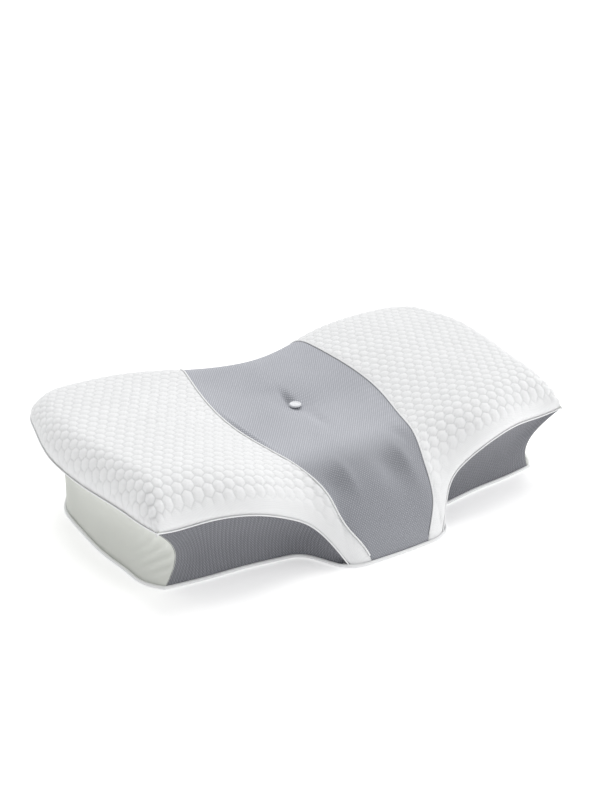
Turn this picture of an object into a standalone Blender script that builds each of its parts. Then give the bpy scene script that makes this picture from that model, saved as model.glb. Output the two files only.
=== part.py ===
"""A contoured butterfly neck pillow with a removable zipped cover. Metres, +Z up, +Y to the back.

Run with: blender --background --python part.py
The origin is the middle of the underside. One reference surface, the outside of the cover, is lofted
from a few edge lines. The cover's panels, the inner liner and the foam are cut from it at their own depths.
"""
import math
from functools import lru_cache

import bmesh
import bpy
import numpy as np
from mathutils import Matrix, Vector
from mathutils.bvhtree import BVHTree
from mathutils.geometry import tessellate_polygon

# Layers, measured inwards from the outside of the cover.
GAP = 0.0003
COVER = 0.0012
LINER = 0.0008
SEAM = 0.0006
LINER_DEPTH = COVER + 2 * GAP
FOAM_DEPTH = LINER_DEPTH + LINER + 2 * GAP

# Edge lines of the right half: x, y, z of the top edge along the back, and along the front with its rise.
BACK_EDGE = ((-.040, .151, .096), (0, .146, .095), (.040, .151, .096), (.080, .162, .098),
             (.130, .179, .100), (.180, .189, .101), (.230, .190, .101), (.270, .184, .102),
             (.292, .172, .103))
FRONT_EDGE = ((-.040, -.221), (0, -.222), (.040, -.221), (.068, -.214), (.091, -.192), (.125, -.178),
              (.175, -.175), (.229, -.165), (.271, -.163), (.295, -.169))
FRONT_RISE = ((.068, 0), (.091, .038), (.125, .064), (.175, .084), (.229, .088), (.271, .088), (.295, .095))
# y, x, z of the top edge along the end of the wing.
END_EDGE = ((-.169, .295, .095), (-.135, .299, .092), (-.095, .303, .091), (-.060, .309, .091),
            (-.020, .3165, .092), (.015, .321, .094), (.050, .3235, .098), (.085, .320, .103),
            (.120, .313, .106), (.150, .304, .105), (.172, .292, .103))
# y, x of the seam between the centre panel and a wing.
PANEL_SEAM = ((-.222, .040), (-.205, .059), (-.172, .071), (-.135, .083), (-.085, .095), (-.031, .107),
              (.028, .110), (.087, .103), (.147, .091), (.170, .086))
# y, height of the wings, and y, depth of the head cradle below them.
WING_HEIGHT = ((-.200, .135), (-.100, .140), (-.020, .139), (.060, .138), (.130, .134), (.190, .129))
CRADLE_DEPTH = ((-.220, .042), (-.135, .043), (-.085, .043), (-.031, .039), (.028, .031), (.087, .020),
                (.150, .009), (.190, .007))
CRADLE_HALF_WIDTH = .150
# How far in from each edge the top rolls over, and how round that roll is.
BACK_ROLL = (.042, .50)
END_ROLL = (.030, .50)
LOBE_ROLL = (.095, .70)
WING_ROLL = (.056, .50)
LOBE_END = .068

# The foot of the wall: x, y along the front, and y, x along the end.
FRONT_FOOT = ((.068, -.214), (.077, -.207), (.093, -.178), (.125, -.157), (.170, -.150), (.221, -.146),
              (.273, -.139))
END_FOOT = ((-.139, .273), (-.121, .286), (-.089, .292), (-.057, .296), (-.022, .299), (.022, .2985),
            (.058, .297), (.085, .292), (.110, .278))
BACK_FOOT_Y = .132
BACK_CORNER = (.278, .110)
STRAIGHT = .228
END_WAIST = .016
FRONT_WAIST = .006
WALL_FRACTIONS = (0, .16, .41, .63, .84, 1)
BACK_WALL_HEIGHTS = (0, .015, .039, .060, .080)
UPRIGHT = .045

# Where the grid of the top lies: across from the middle to the end, and from the back to the front.
CENTRE_COLUMNS = (0, .33, .67)
WING_COLUMNS = (1.20, 1.37, 1.56, 1.86, 1.94, 2)
ROWS = (0, .02, .05, .09, .15, .24, .34, .45, .56, .67, .76, .84, .91, .96, 1)

# Zip: straight along X, low on the back wall.
ZIP_HEIGHT = .027
ZIP_HALF = .226
TAPE = 0.0006
TAPE_WIDTH = .0109
TEETH_GAP = .0008
TEETH_SIZE = .0016
SLIDER_REST = .2135
SLIDER_LENGTH = .0095
SLIDER_HALF_HEIGHT = .0043
PLATE = .0010
PULLER_LENGTH = .024
PULLER_WIDTH = .0060
PULLER_THICKNESS = .0010

# Tuft: a covered button tied through the foam to a disc in its underside.
TUFT_Y = .011
TUFT_DEPTH = .006
BUTTON_RADIUS = .0078
BUTTON_HEIGHT = .0034
CORD_RADIUS = .0010
CHANNEL_RADIUS = .0025
ANCHOR_RADIUS = .0110
ANCHOR_HEIGHT = .0030

WELT_RADIUS = .0012

COLOURS = {
    "foam": ((.86, .84, .78, 1), .95, 0),
    "liner": ((.80, .80, .79, 1), .90, 0),
    "quilted": ((.84, .84, .84, 1), .85, 0),
    "plain": ((.62, .64, .59, 1), .85, 0),
    "mesh": ((.30, .31, .35, 1), .80, 0),
    "side_mesh": ((.17, .17, .19, 1), .80, 0),
    "base": ((.60, .60, .60, 1), .90, 0),
    "welt": ((.86, .86, .84, 1), .60, 0),
    "tape": ((.75, .75, .75, 1), .85, 0),
    "teeth": ((.70, .70, .70, 1), .45, 0),
    "metal": ((.55, .56, .58, 1), .35, 1),
    "button": ((.74, .74, .75, 1), .70, 0),
    "cord": ((.78, .78, .76, 1), .80, 0),
}


def clear_scene():
    for item in list(bpy.data.objects):
        bpy.data.objects.remove(item)
    for name in ("neck_pillow", "cutters"):
        found = bpy.data.collections.get(name)
        if found:
            bpy.data.collections.remove(found)


def new_collection(name):
    made = bpy.data.collections.new(name)
    bpy.context.scene.collection.children.link(made)
    return made


clear_scene()
PARTS = new_collection("neck_pillow")
CUTTERS = new_collection("cutters")


def finish_of(name):
    made = bpy.data.materials.get(name)
    if made is None:
        colour, roughness, metallic = COLOURS[name]
        made = bpy.data.materials.new(name)
        made.use_nodes = True
        shader = made.node_tree.nodes["Principled BSDF"]
        shader.inputs["Base Color"].default_value = colour
        shader.inputs["Roughness"].default_value = roughness
        shader.inputs["Metallic"].default_value = metallic
    return made


def keep(item, name, finish, collection=None):
    """Names an object, gives it its material and puts it in its collection."""
    item.name = item.data.name = name
    for home in list(item.users_collection):
        home.objects.unlink(item)
    (collection or PARTS).objects.link(item)
    item.data.materials.clear()
    item.data.materials.append(finish_of(finish))
    return item


def object_from(shape, name, finish, collection=None):
    """A mesh object from a bmesh, with its faces turned outwards."""
    bmesh.ops.recalc_face_normals(shape, faces=shape.faces)
    mesh = bpy.data.meshes.new(name)
    shape.to_mesh(mesh)
    shape.free()
    return keep(bpy.data.objects.new(name, mesh), name, finish, collection)


# Reference surface

@lru_cache(maxsize=None)
def spline_of(table, column):
    """The keys, values and second derivatives of a natural cubic through a table's rows."""
    keys = np.array([row[0] for row in table], float)
    values = np.array([row[column] for row in table], float)
    step = np.diff(keys)
    system = np.eye(len(keys))
    right = np.zeros(len(keys))
    for i in range(1, len(keys) - 1):
        system[i, i - 1:i + 2] = step[i - 1], 2 * (step[i - 1] + step[i]), step[i]
        right[i] = 6 * ((values[i + 1] - values[i]) / step[i] - (values[i] - values[i - 1]) / step[i - 1])
    return keys, values, step, np.linalg.solve(system, right)


def through(table, at, column=1):
    """A natural cubic through a table's rows, read at one or many places."""
    keys, values, step, bend = spline_of(table, column)
    at = np.clip(np.asarray(at, float), keys[0], keys[-1])
    i = np.clip(np.searchsorted(keys, at) - 1, 0, len(keys) - 2)
    far = (at - keys[i]) / step[i]
    near = 1 - far
    curve = (near ** 3 - near) * bend[i] + (far ** 3 - far) * bend[i + 1]
    return near * values[i] + far * values[i + 1] + curve * step[i] ** 2 / 6


def rolled(distance, reach, power):
    inward = np.clip(distance / reach, 0, 1)
    return (1 - (1 - inward) ** 2) ** power


def eased(value):
    value = np.clip(value, 0, 1)
    return value * value * (3 - 2 * value)


def top_height(x, y):
    """Height of the cover's outside over a place in plan."""
    x = np.abs(x)
    back = np.maximum(through(BACK_EDGE, x) - y, 0)
    front = np.maximum(y - through(FRONT_EDGE, x), 0)
    end = np.maximum(through(END_EDGE, y) - x, 0)
    wing = eased((x - .060) / .100)
    reach = LOBE_ROLL[0] + (WING_ROLL[0] - LOBE_ROLL[0]) * wing
    power = LOBE_ROLL[1] + (WING_ROLL[1] - LOBE_ROLL[1]) * wing
    rolls = rolled(back, *BACK_ROLL) * rolled(front, reach, power) * rolled(end, *END_ROLL)
    front_rise = np.where(x < LOBE_END + GAP, 0, through(FRONT_RISE, x))
    edges = ((back, through(BACK_EDGE, x, 2)), (front, front_rise), (end, through(END_EDGE, y, 2)))
    weights = [1 / (distance + .0001) ** 2 for distance, _ in edges]
    edge = sum(weight * rise for weight, (_, rise) in zip(weights, edges)) / sum(weights)
    cradle = through(CRADLE_DEPTH, y) / (1 + (x / CRADLE_HALF_WIDTH) ** 4)
    tuft = TUFT_DEPTH * np.exp(-(x / .024) ** 2 - ((y - TUFT_Y) / .026) ** 2)
    crown = through(WING_HEIGHT, y) - cradle - tuft
    return edge + (crown - edge) * rolls


def top_point(column, row):
    """Column 0 is the middle, 1 the panel seam, 2 the end of the wing. Row 0 is the back, 1 the front."""
    across = abs(column)
    x, y = .1, 0
    for _ in range(60):
        seam, end = through(PANEL_SEAM, y), through(END_EDGE, y)
        x = seam * across if across <= 1 else seam + (end - seam) * (across - 1)
        back = through(BACK_EDGE, x)
        y = back + (through(FRONT_EDGE, x) - back) * row
    x = math.copysign(x, column)
    return np.array([x, y, top_height(x, y)], float)


def wall_line(edge, kind):
    """The points of the wall below one point of the top edge, from the foot up to just under that edge."""
    side = math.copysign(1, edge[0])
    x, y, rise = abs(edge[0]), edge[1], edge[2]
    front_x, end_x = FRONT_EDGE[-1][0], BACK_EDGE[-1][0]
    if kind == "front":
        foot_x = LOBE_END + (x - LOBE_END) * (FRONT_FOOT[-1][0] - LOBE_END) / (front_x - LOBE_END)
        foot_y = float(through(FRONT_FOOT, foot_x))
        waist = (END_WAIST * float(eased(1 - (front_x - x) / .080)), FRONT_WAIST)
        backness = 0
    elif kind == "end":
        along = (y - END_EDGE[0][0]) / (END_EDGE[-1][0] - END_EDGE[0][0])
        foot_y = END_FOOT[0][0] + along * (END_FOOT[-1][0] - END_FOOT[0][0])
        foot_x = float(through(END_FOOT, foot_y))
        backness = float(eased((y - .08) / .09))
        waist = (END_WAIST * (1 - backness), FRONT_WAIST * float(eased(1 - along * 5)))
    else:
        foot_x = x * BACK_CORNER[0] / end_x
        corner = max(0, foot_x - STRAIGHT) / (BACK_CORNER[0] - STRAIGHT)
        foot_y = BACK_FOOT_Y - (BACK_FOOT_Y - BACK_CORNER[1]) * corner ** 2
        backness = 1
        waist = (0, 0)
    points = []
    for k in range(len(WALL_FRACTIONS) - 1):
        z = BACK_WALL_HEIGHTS[k] if kind == "back" else rise * WALL_FRACTIONS[k]
        up = z / rise if rise else 0
        flare = max(0, (z - UPRIGHT) / max(rise - UPRIGHT, .001)) ** 1.6
        out = up + (flare - up) * backness
        pinch = math.sin(math.pi * up)
        points.append((
            side * (foot_x + (x - foot_x) * out - waist[0] * pinch),
            foot_y + (y - foot_y) * out + waist[1] * pinch,
            z,
        ))
    return points


class Surface:
    """The reference surface: its points, its outward directions, and its faces by panel."""

    def __init__(self):
        self.points = []
        self.places = {}
        self.faces = {}

    def point(self, place):
        key = tuple(round(value * 1e6) for value in place)
        if key not in self.places:
            self.places[key] = len(self.points)
            self.points.append(np.array(place, float))
        return self.places[key]

    def face(self, panel, corners):
        loop = []
        for corner in corners:
            if corner not in loop:
                loop.append(corner)
        for third in range(2, len(loop)):
            self.faces.setdefault(panel, []).append((loop[0], loop[third - 1], loop[third]))

    def outward(self):
        """Unit directions at the points, set so that a step along one moves every face by nearly that much."""
        sums = np.zeros((len(self.points), 3))
        places = np.array(self.points)
        directions = [[] for _ in self.points]
        for corner_lists in self.faces.values():
            for loop in corner_lists:
                a, b, c = places[list(loop)]
                normal = np.cross(b - a, c - a)
                size = np.linalg.norm(normal)
                if size < 1e-12:
                    continue
                for corner, before, after in ((0, 2, 1), (1, 0, 2), (2, 1, 0)):
                    one = places[loop[before]] - places[loop[corner]]
                    two = places[loop[after]] - places[loop[corner]]
                    cosine = one @ two / np.linalg.norm(one) / np.linalg.norm(two)
                    angle = math.acos(min(1, max(-1, cosine)))
                    sums[loop[corner]] += normal / size * angle
                    directions[loop[corner]].append(normal / size)
        sums /= np.linalg.norm(sums, axis=1)[:, None]
        for i, normals in enumerate(directions):
            least = min(float(sums[i] @ normal) for normal in normals)
            sums[i] /= max(least, .90)
        return sums


def column_through(edge, x):
    """The column of the top that meets the front or the back edge at this x."""
    y = through(edge, x)
    seam, end = through(PANEL_SEAM, y), through(END_EDGE, y)
    return 1 + float((x - seam) / (end - seam))


def build_surface():
    surface = Surface()
    lobe_column = column_through(FRONT_EDGE, LOBE_END)
    zip_column = column_through(BACK_EDGE, STRAIGHT * BACK_EDGE[-1][0] / BACK_CORNER[0])
    half = sorted((*CENTRE_COLUMNS, 1, lobe_column, zip_column, *WING_COLUMNS))
    columns = [-column for column in reversed(half[1:])] + half
    top = [[surface.point(top_point(column, row)) for row in ROWS] for column in columns]
    for i in range(len(columns) - 1):
        middle = (columns[i] + columns[i + 1]) / 2
        panel = "centre" if abs(middle) < 1 else "left_wing" if middle < 0 else "right_wing"
        for j in range(len(ROWS) - 1):
            surface.face(panel, (top[i][j], top[i][j + 1], top[i + 1][j + 1], top[i + 1][j]))

    # The wall is followed anticlockwise seen from above, from the right foot of the neck lobe to the left one.
    last = len(columns) - 1
    lobe = [i for i, column in enumerate(columns) if abs(column) <= lobe_column]
    loop = [(top[i][-1], "front") for i in range(lobe[-1], last + 1)]
    loop += [(top[last][j], "end") for j in range(len(ROWS) - 2, -1, -1)]
    loop += [(top[i][0], "back") for i in range(last - 1, 0, -1)]
    loop += [(top[0][j], "end") for j in range(len(ROWS) - 1)]
    loop += [(top[i][-1], "front") for i in range(lobe[0] + 1)]
    lines = []
    for corner, kind in loop:
        on_floor = surface.points[corner][2] < GAP
        foot_up = [] if on_floor else [surface.point(place) for place in wall_line(surface.points[corner], kind)]
        lines.append((foot_up or [corner] * (len(WALL_FRACTIONS) - 1)) + [corner])
    for k in range(len(loop) - 1):
        kinds = (loop[k][1], loop[k + 1][1])
        feet = [surface.points[lines[n][0]][0] for n in (k, k + 1)]
        side = "left_" if sum(feet) < 0 else "right_"
        straight = max(abs(feet[0]), abs(feet[1])) < STRAIGHT + .002
        for w in range(len(WALL_FRACTIONS) - 1):
            if "end" in kinds:
                panel = side + "end"
            elif "front" in kinds:
                panel = side + "front"
            elif w == 1 and straight:
                panel = "zip_band"
            else:
                panel = "back_lower" if w < 2 else "back_upper"
            surface.face(panel, (lines[k][w], lines[k + 1][w], lines[k + 1][w + 1], lines[k][w + 1]))

    outline = [line[0] for line in lines] + [top[i][-1] for i in lobe[1:-1]]
    flat = [[Vector(surface.points[corner]) for corner in outline]]
    for corners in tessellate_polygon(flat):
        a, b, c = [outline[n] for n in corners]
        one, two, three = [surface.points[corner] for corner in (a, b, c)]
        upward = np.cross(two - one, three - one)[2] > 0
        surface.face("base", (a, c, b) if upward else (a, b, c))
    surface.outline = outline
    surface.rim = [corner for corner, _ in loop]
    surface.top = top
    surface.columns = columns
    surface.directions = surface.outward()
    return surface


SURFACE = build_surface()


# Layers cut from the reference surface

def layer(name, panels, outer, inner, finish):
    """A closed sheet between two depths under the named panels, drawn in a little from its own edges."""
    faces = [loop for panel in panels for loop in SURFACE.faces[panel]]
    sides = {(loop[n], loop[(n + 1) % 3]): loop[(n + 2) % 3] for loop in faces for n in range(3)}
    border = sorted((a, b) for a, b in sides if (b, a) not in sides)
    used = sorted({corner for loop in faces for corner in loop})
    drawn_in = {corner: np.zeros(3) for corner in used}
    for a, b in border:
        along = SURFACE.points[b] - SURFACE.points[a]
        along = along / np.linalg.norm(along)
        across = SURFACE.points[sides[a, b]] - SURFACE.points[a]
        across = across - along * (across @ along)
        for corner in (a, b):
            drawn_in[corner] += across / np.linalg.norm(across)
    shape = bmesh.new()
    sheets = []
    for depth in (outer, inner):
        corners = {}
        for corner in used:
            place = SURFACE.points[corner] - SURFACE.directions[corner] * depth
            length = np.linalg.norm(drawn_in[corner])
            if length > 0:
                place = place + drawn_in[corner] / length * SEAM
            corners[corner] = shape.verts.new(place)
        sheets.append(corners)
    above, below = sheets
    for a, b, c in faces:
        shape.faces.new((above[a], above[b], above[c]))
        shape.faces.new((below[c], below[b], below[a]))
    for a, b in border:
        shape.faces.new((above[b], above[a], below[a], below[b]))
    return object_from(shape, name, finish)


def whole(name, depth, finish):
    """One closed solid at a depth under the whole reference surface."""
    shape = bmesh.new()
    places = [SURFACE.points[n] - SURFACE.directions[n] * depth for n in range(len(SURFACE.points))]
    corners = [shape.verts.new(place) for place in places]
    for loops in SURFACE.faces.values():
        for a, b, c in loops:
            shape.faces.new((corners[a], corners[b], corners[c]))
    return object_from(shape, name, finish)


def box(name, low, high, finish, collection=None):
    low, high = Vector(low), Vector(high)
    shape = bmesh.new()
    bmesh.ops.create_cube(shape, size=1)
    size = high - low
    bmesh.ops.scale(shape, vec=size, verts=shape.verts)
    bmesh.ops.translate(shape, vec=(low + high) / 2, verts=shape.verts)
    return object_from(shape, name, finish, collection)


def rod(name, radius, low, high, finish, sides=20, x=0, y=0, collection=None):
    """An upright cylinder between two heights."""
    shape = bmesh.new()
    bmesh.ops.create_cone(shape, cap_ends=True, segments=sides, radius1=radius, radius2=radius, depth=high - low)
    bmesh.ops.translate(shape, vec=(x, y, (low + high) / 2), verts=shape.verts)
    return object_from(shape, name, finish, collection)


def helper(item):
    item.hide_render = True
    item.display_type = "WIRE"
    return item


def combine(item, other, operation):
    step = item.modifiers.new(operation.lower(), "BOOLEAN")
    step.operation = operation
    step.object = helper(other)
    step.solver = "EXACT"


def set_origin(item, place):
    """Moves an object's origin without moving its shape."""
    place = Vector(place)
    item.data.transform(Matrix.Translation(-place))
    item.location = place


def tube(name, path, radius, finish, closed=False):
    curve = bpy.data.curves.new(name, "CURVE")
    curve.dimensions = "3D"
    curve.bevel_depth = radius
    curve.bevel_resolution = 1
    curve.use_fill_caps = not closed
    line = curve.splines.new("POLY")
    line.points.add(len(path) - 1)
    for point, place in zip(line.points, path):
        point.co = (*place, 1)
    line.use_cyclic_u = closed
    return keep(bpy.data.objects.new(name, curve), name, finish)


def shortened(path, start, end):
    """The path with a length taken off each end."""
    for cut in (start, end):
        path = [np.array(place) for place in path]
        while np.linalg.norm(path[1] - path[0]) <= cut:
            cut -= np.linalg.norm(path[1] - path[0])
            path = path[1:]
        path[0] = path[0] + (path[1] - path[0]) * cut / np.linalg.norm(path[1] - path[0])
        path = path[::-1]
    return path


def proud(corners):
    """Places for a welt lying on the seam through these corners of the surface."""
    lift = WELT_RADIUS + 1.5 * GAP
    return [SURFACE.points[corner] + SURFACE.directions[corner] * lift for corner in corners]


# Foam, liner and cover

def make_soft_parts():
    foam = whole("foam_core", FOAM_DEPTH, "foam")
    around = [panel for panel in SURFACE.faces if panel != "zip_band"]
    liner = layer("inner_liner", around, LINER_DEPTH, LINER_DEPTH + LINER, "liner")
    centre = layer("centre_panel", ["centre"], 0, COVER, "mesh")
    for side in ("left", "right"):
        layer(side + "_wing_panel", [side + "_wing"], 0, COVER, "quilted")
        layer(side + "_front_panel", [side + "_front"], 0, COVER, "side_mesh")
        layer(side + "_end_panel", [side + "_end"], 0, COVER, "plain")
    layer("back_upper_strip", ["back_upper"], 0, COVER, "plain")
    layer("back_lower_strip", ["back_lower"], 0, COVER, "plain")
    layer("base_panel", ["base"], 0, COVER, "base")
    return foam, liner, centre


def make_welts():
    rim = SURFACE.rim
    columns, top = SURFACE.columns, SURFACE.top
    for side, sign in (("left", -1), ("right", 1)):
        seam = columns.index(sign * 1)
        half = [corner for corner in rim if SURFACE.points[corner][0] * sign > 0]
        half = half if sign > 0 else half[::-1]
        half = half[:half.index(top[seam][0]) + 1]
        tube(side + "_rim_welt", shortened(proud(half), .010, .006), WELT_RADIUS, "welt")
        tube(side + "_centre_welt", shortened(proud(top[seam]), .006, .008), WELT_RADIUS, "welt")
    outline = [SURFACE.points[corner] for corner in SURFACE.outline]
    path = []
    for n, place in enumerate(outline):
        along = outline[(n + 1) % len(outline)] - outline[n - 1]
        outward = np.array((along[1], -along[0], 0)) / np.linalg.norm(along)
        path.append(place + outward * (WELT_RADIUS + 3 * GAP) + (0, 0, WELT_RADIUS + GAP))
    tube("base_welt", path, WELT_RADIUS, "welt", closed=True)


def highest_near(radius):
    """The highest point of the cover within a radius of the tuft."""
    tree = BVHTree.FromPolygons([Vector(place) for place in SURFACE.points], SURFACE.faces["centre"])
    heights = []
    for ring in (0, .5, 1):
        for turn in range(24):
            angle = turn * math.tau / 24
            x, y = ring * radius * math.cos(angle), TUFT_Y + ring * radius * math.sin(angle)
            heights.append(tree.ray_cast(Vector((x, y, 1)), Vector((0, 0, -1)))[0].z)
    return max(heights)


def make_tuft(foam, liner, centre):
    seat = highest_near(BUTTON_RADIUS) + GAP
    anchor_foot = LINER_DEPTH + LINER + GAP
    anchor_top = anchor_foot + ANCHOR_HEIGHT

    combine(foam, rod("foam_channel", CHANNEL_RADIUS, -.01, .2, "foam", 16, y=TUFT_Y, collection=CUTTERS), "DIFFERENCE")
    pocket = rod("anchor_pocket", ANCHOR_RADIUS + GAP, -.01, anchor_top + GAP, "foam", 24, y=TUFT_Y, collection=CUTTERS)
    combine(foam, pocket, "DIFFERENCE")
    for item, name in ((liner, "liner_eyelet"), (centre, "panel_eyelet")):
        combine(item, rod(name, CHANNEL_RADIUS, .05, .2, "liner", 16, y=TUFT_Y, collection=CUTTERS), "DIFFERENCE")

    rod("tuft_anchor", ANCHOR_RADIUS, anchor_foot, anchor_top, "button", 24, y=TUFT_Y)
    rod("tuft_cord", CORD_RADIUS, anchor_top + GAP, seat - GAP, "cord", 10, y=TUFT_Y)

    mesh = bpy.data.meshes.new("tuft_button")
    profile = [(0, BUTTON_HEIGHT)]
    for step in range(1, 5):
        angle = math.radians(step * 20)
        profile.append((BUTTON_RADIUS * math.sin(angle), BUTTON_HEIGHT * (.35 + .65 * math.cos(angle))))
    profile += [(BUTTON_RADIUS, BUTTON_HEIGHT * .30), (BUTTON_RADIUS * .92, 0), (0, 0)]
    mesh.from_pydata([(r, 0, z) for r, z in profile], [(n, n + 1) for n in range(len(profile) - 1)], [])
    button = keep(bpy.data.objects.new("tuft_button", mesh), "tuft_button", "button")
    turn = button.modifiers.new("turn", "SCREW")
    turn.steps = turn.render_steps = 24
    turn.use_merge_vertices = True
    turn.merge_threshold = .00001
    button.location = (0, TUFT_Y, seat)


# Zip

def make_zip():
    face = BACK_FOOT_Y
    z = ZIP_HEIGHT
    teeth_in = face + TAPE + GAP
    teeth_out = teeth_in + TEETH_SIZE
    for name, sign in (("upper", 1), ("lower", -1)):
        near, far = sorted((z + sign * TEETH_GAP, z + sign * (TEETH_GAP + TAPE_WIDTH)))
        box(name + "_zip_tape", (-ZIP_HALF, face, near), (ZIP_HALF, face + TAPE, far), "tape")
        near, far = sorted((z + sign * TEETH_GAP, z + sign * (TEETH_GAP + TEETH_SIZE)))
        box(name + "_zip_teeth", (-ZIP_HALF, teeth_in, near), (ZIP_HALF, teeth_out, far), "teeth")

    plate_in = teeth_out + GAP
    plate_out = plate_in + PLATE
    half = SLIDER_LENGTH / 2
    tall = SLIDER_HALF_HEIGHT
    lip = TEETH_GAP + TEETH_SIZE + 2 * GAP
    x = SLIDER_REST
    slider = box("zip_slider", (x - half, plate_in, z - tall), (x + half, plate_out, z + tall), "metal")
    back_in, back_out = face - COVER, face - GAP
    pieces = [
        ("slider_back", (x - half, back_in, z - tall), (x + half, back_out, z + tall)),
        ("slider_post", (x - .0012, back_in + GAP, z - .0005), (x + .0012, plate_in + GAP, z + .0005)),
        ("slider_upper_lip", (x - half, teeth_in, z + lip), (x + half, plate_in + GAP, z + tall)),
        ("slider_lower_lip", (x - half, teeth_in, z - tall), (x + half, plate_in + GAP, z - lip)),
    ]
    for name, low, high in pieces:
        combine(slider, box(name, low, high, "metal", CUTTERS), "UNION")
    pin_y = plate_out + .0009
    for name, sign in (("slider_bridge_left", -1), ("slider_bridge_right", 1)):
        near, far = sorted((x + sign * .0022, x + sign * .0032))
        low = (near, plate_out - GAP, z - .0010)
        combine(slider, box(name, low, (far, pin_y + .0019, z + .0010), "metal", CUTTERS), "UNION")
    low = (x - .0030, pin_y + .0009, z - .0009)
    combine(slider, box("slider_bridge_top", low, (x + .0030, pin_y + .0018, z + .0009), "metal", CUTTERS), "UNION")
    set_origin(slider, (x, plate_in, z))

    thick = PULLER_THICKNESS / 2
    low = (x - PULLER_LENGTH + .0006, pin_y - thick, z - PULLER_WIDTH / 2)
    puller = box("zip_puller", low, (x + .0006, pin_y + thick, z + PULLER_WIDTH / 2), "metal")
    window = box("puller_window", (x - .0044, pin_y - .01, z - .0016), (x - .0006, pin_y + .01, z + .0016), "metal",
                 CUTTERS)
    hole = rod("puller_hole", .0015, -.01, .01, "metal", 20, collection=CUTTERS)
    hole.rotation_euler = (math.pi / 2, 0, 0)
    hole.location = (x - PULLER_LENGTH + .0044, pin_y, z)
    combine(puller, window, "DIFFERENCE")
    combine(puller, hole, "DIFFERENCE")
    set_origin(puller, (x, pin_y, z))

    for name, sign in (("closed_stop", 1), ("open_stop", -1)):
        near, far = sorted((sign * .0198 + sign * .2, sign * .2228))
        box("zip_" + name, (near, plate_in, z - .0028), (far, plate_in + .0008, z + .0028), "metal")


FOAM, LINER_BAG, CENTRE = make_soft_parts()
make_welts()
make_tuft(FOAM, LINER_BAG, CENTRE)
make_zip()
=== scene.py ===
import math

import bmesh
import bpy
import numpy as np
from mathutils import Matrix, Vector


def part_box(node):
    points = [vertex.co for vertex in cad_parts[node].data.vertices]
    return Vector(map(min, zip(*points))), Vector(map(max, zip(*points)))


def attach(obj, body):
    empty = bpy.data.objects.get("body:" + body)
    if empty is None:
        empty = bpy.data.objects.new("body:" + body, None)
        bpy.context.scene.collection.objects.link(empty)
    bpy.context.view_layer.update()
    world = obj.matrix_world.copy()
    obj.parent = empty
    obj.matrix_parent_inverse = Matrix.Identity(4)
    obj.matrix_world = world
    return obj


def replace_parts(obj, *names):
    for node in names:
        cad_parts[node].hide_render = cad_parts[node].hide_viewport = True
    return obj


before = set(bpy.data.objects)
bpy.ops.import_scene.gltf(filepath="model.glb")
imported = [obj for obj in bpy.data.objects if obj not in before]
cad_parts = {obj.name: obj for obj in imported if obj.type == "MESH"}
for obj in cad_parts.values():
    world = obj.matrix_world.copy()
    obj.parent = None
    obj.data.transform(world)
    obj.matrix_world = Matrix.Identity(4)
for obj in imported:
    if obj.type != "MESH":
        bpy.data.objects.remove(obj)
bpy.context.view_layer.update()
print("frame loaded:", len(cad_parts), "CAD nodes")

# The pillow's outer shape, as in the CAD: half plan, mirrored about the middle.
pillow = {
    "backEdge": ((-.040, .151, .096), (0, .146, .095), (.040, .151, .096), (.080, .162, .098),
                 (.130, .179, .100), (.180, .189, .101), (.230, .190, .101), (.270, .184, .102),
                 (.292, .172, .103)),  # x, y, height of the top edge along the back
    "frontEdge": ((-.040, -.221), (0, -.222), (.040, -.221), (.068, -.214), (.091, -.192), (.125, -.178),
                  (.175, -.175), (.229, -.165), (.271, -.163), (.295, -.169)),
    "frontRise": ((.068, 0), (.091, .038), (.125, .064), (.175, .084), (.229, .088), (.271, .088),
                  (.295, .095)),
    "endEdge": ((-.169, .295, .095), (-.135, .299, .092), (-.095, .303, .091), (-.060, .309, .091),
                (-.020, .3165, .092), (.015, .321, .094), (.050, .3235, .098), (.085, .320, .103),
                (.120, .313, .106), (.150, .304, .105), (.172, .292, .103)),
    "panelSeam": ((-.222, .040), (-.205, .059), (-.172, .071), (-.135, .083), (-.085, .095), (-.031, .107),
                  (.028, .110), (.087, .103), (.147, .091), (.170, .086)),
    "wingHeight": ((-.200, .135), (-.100, .140), (-.020, .139), (.060, .138), (.130, .134), (.190, .129)),
    "cradleDepth": ((-.220, .042), (-.135, .043), (-.085, .043), (-.031, .039), (.028, .031), (.087, .020),
                    (.150, .009), (.190, .007)),
    "frontFoot": ((.068, -.214), (.077, -.207), (.093, -.178), (.125, -.157), (.170, -.150), (.221, -.146),
                  (.273, -.139)),
    "endFoot": ((-.139, .273), (-.121, .286), (-.089, .292), (-.057, .296), (-.022, .299), (.022, .2985),
                (.058, .297), (.085, .292), (.110, .278)),
    "cradleHalfWidth": .150, "backRoll": (.042, .50), "endRoll": (.030, .50), "lobeRoll": (.095, .70),
    "wingRoll": (.056, .50), "lobeEnd": .068, "wingTip": .295, "footTip": .273, "backFoot": .132,
    "backCorner": (.278, .110), "backTip": .292, "straight": .228, "endRange": (-.169, .172),
    "endFootRange": (-.139, .110), "endWaist": .021, "frontWaist": .006, "upright": .045,
    "tuftY": .011, "tuftDepth": .006, "tuftSize": (.024, .026), "clothReach": .112,
}
middle = np.array((0, -.02, .05))  # a place inside the foam, to tell outward from inward
splineCache = {}


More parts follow.
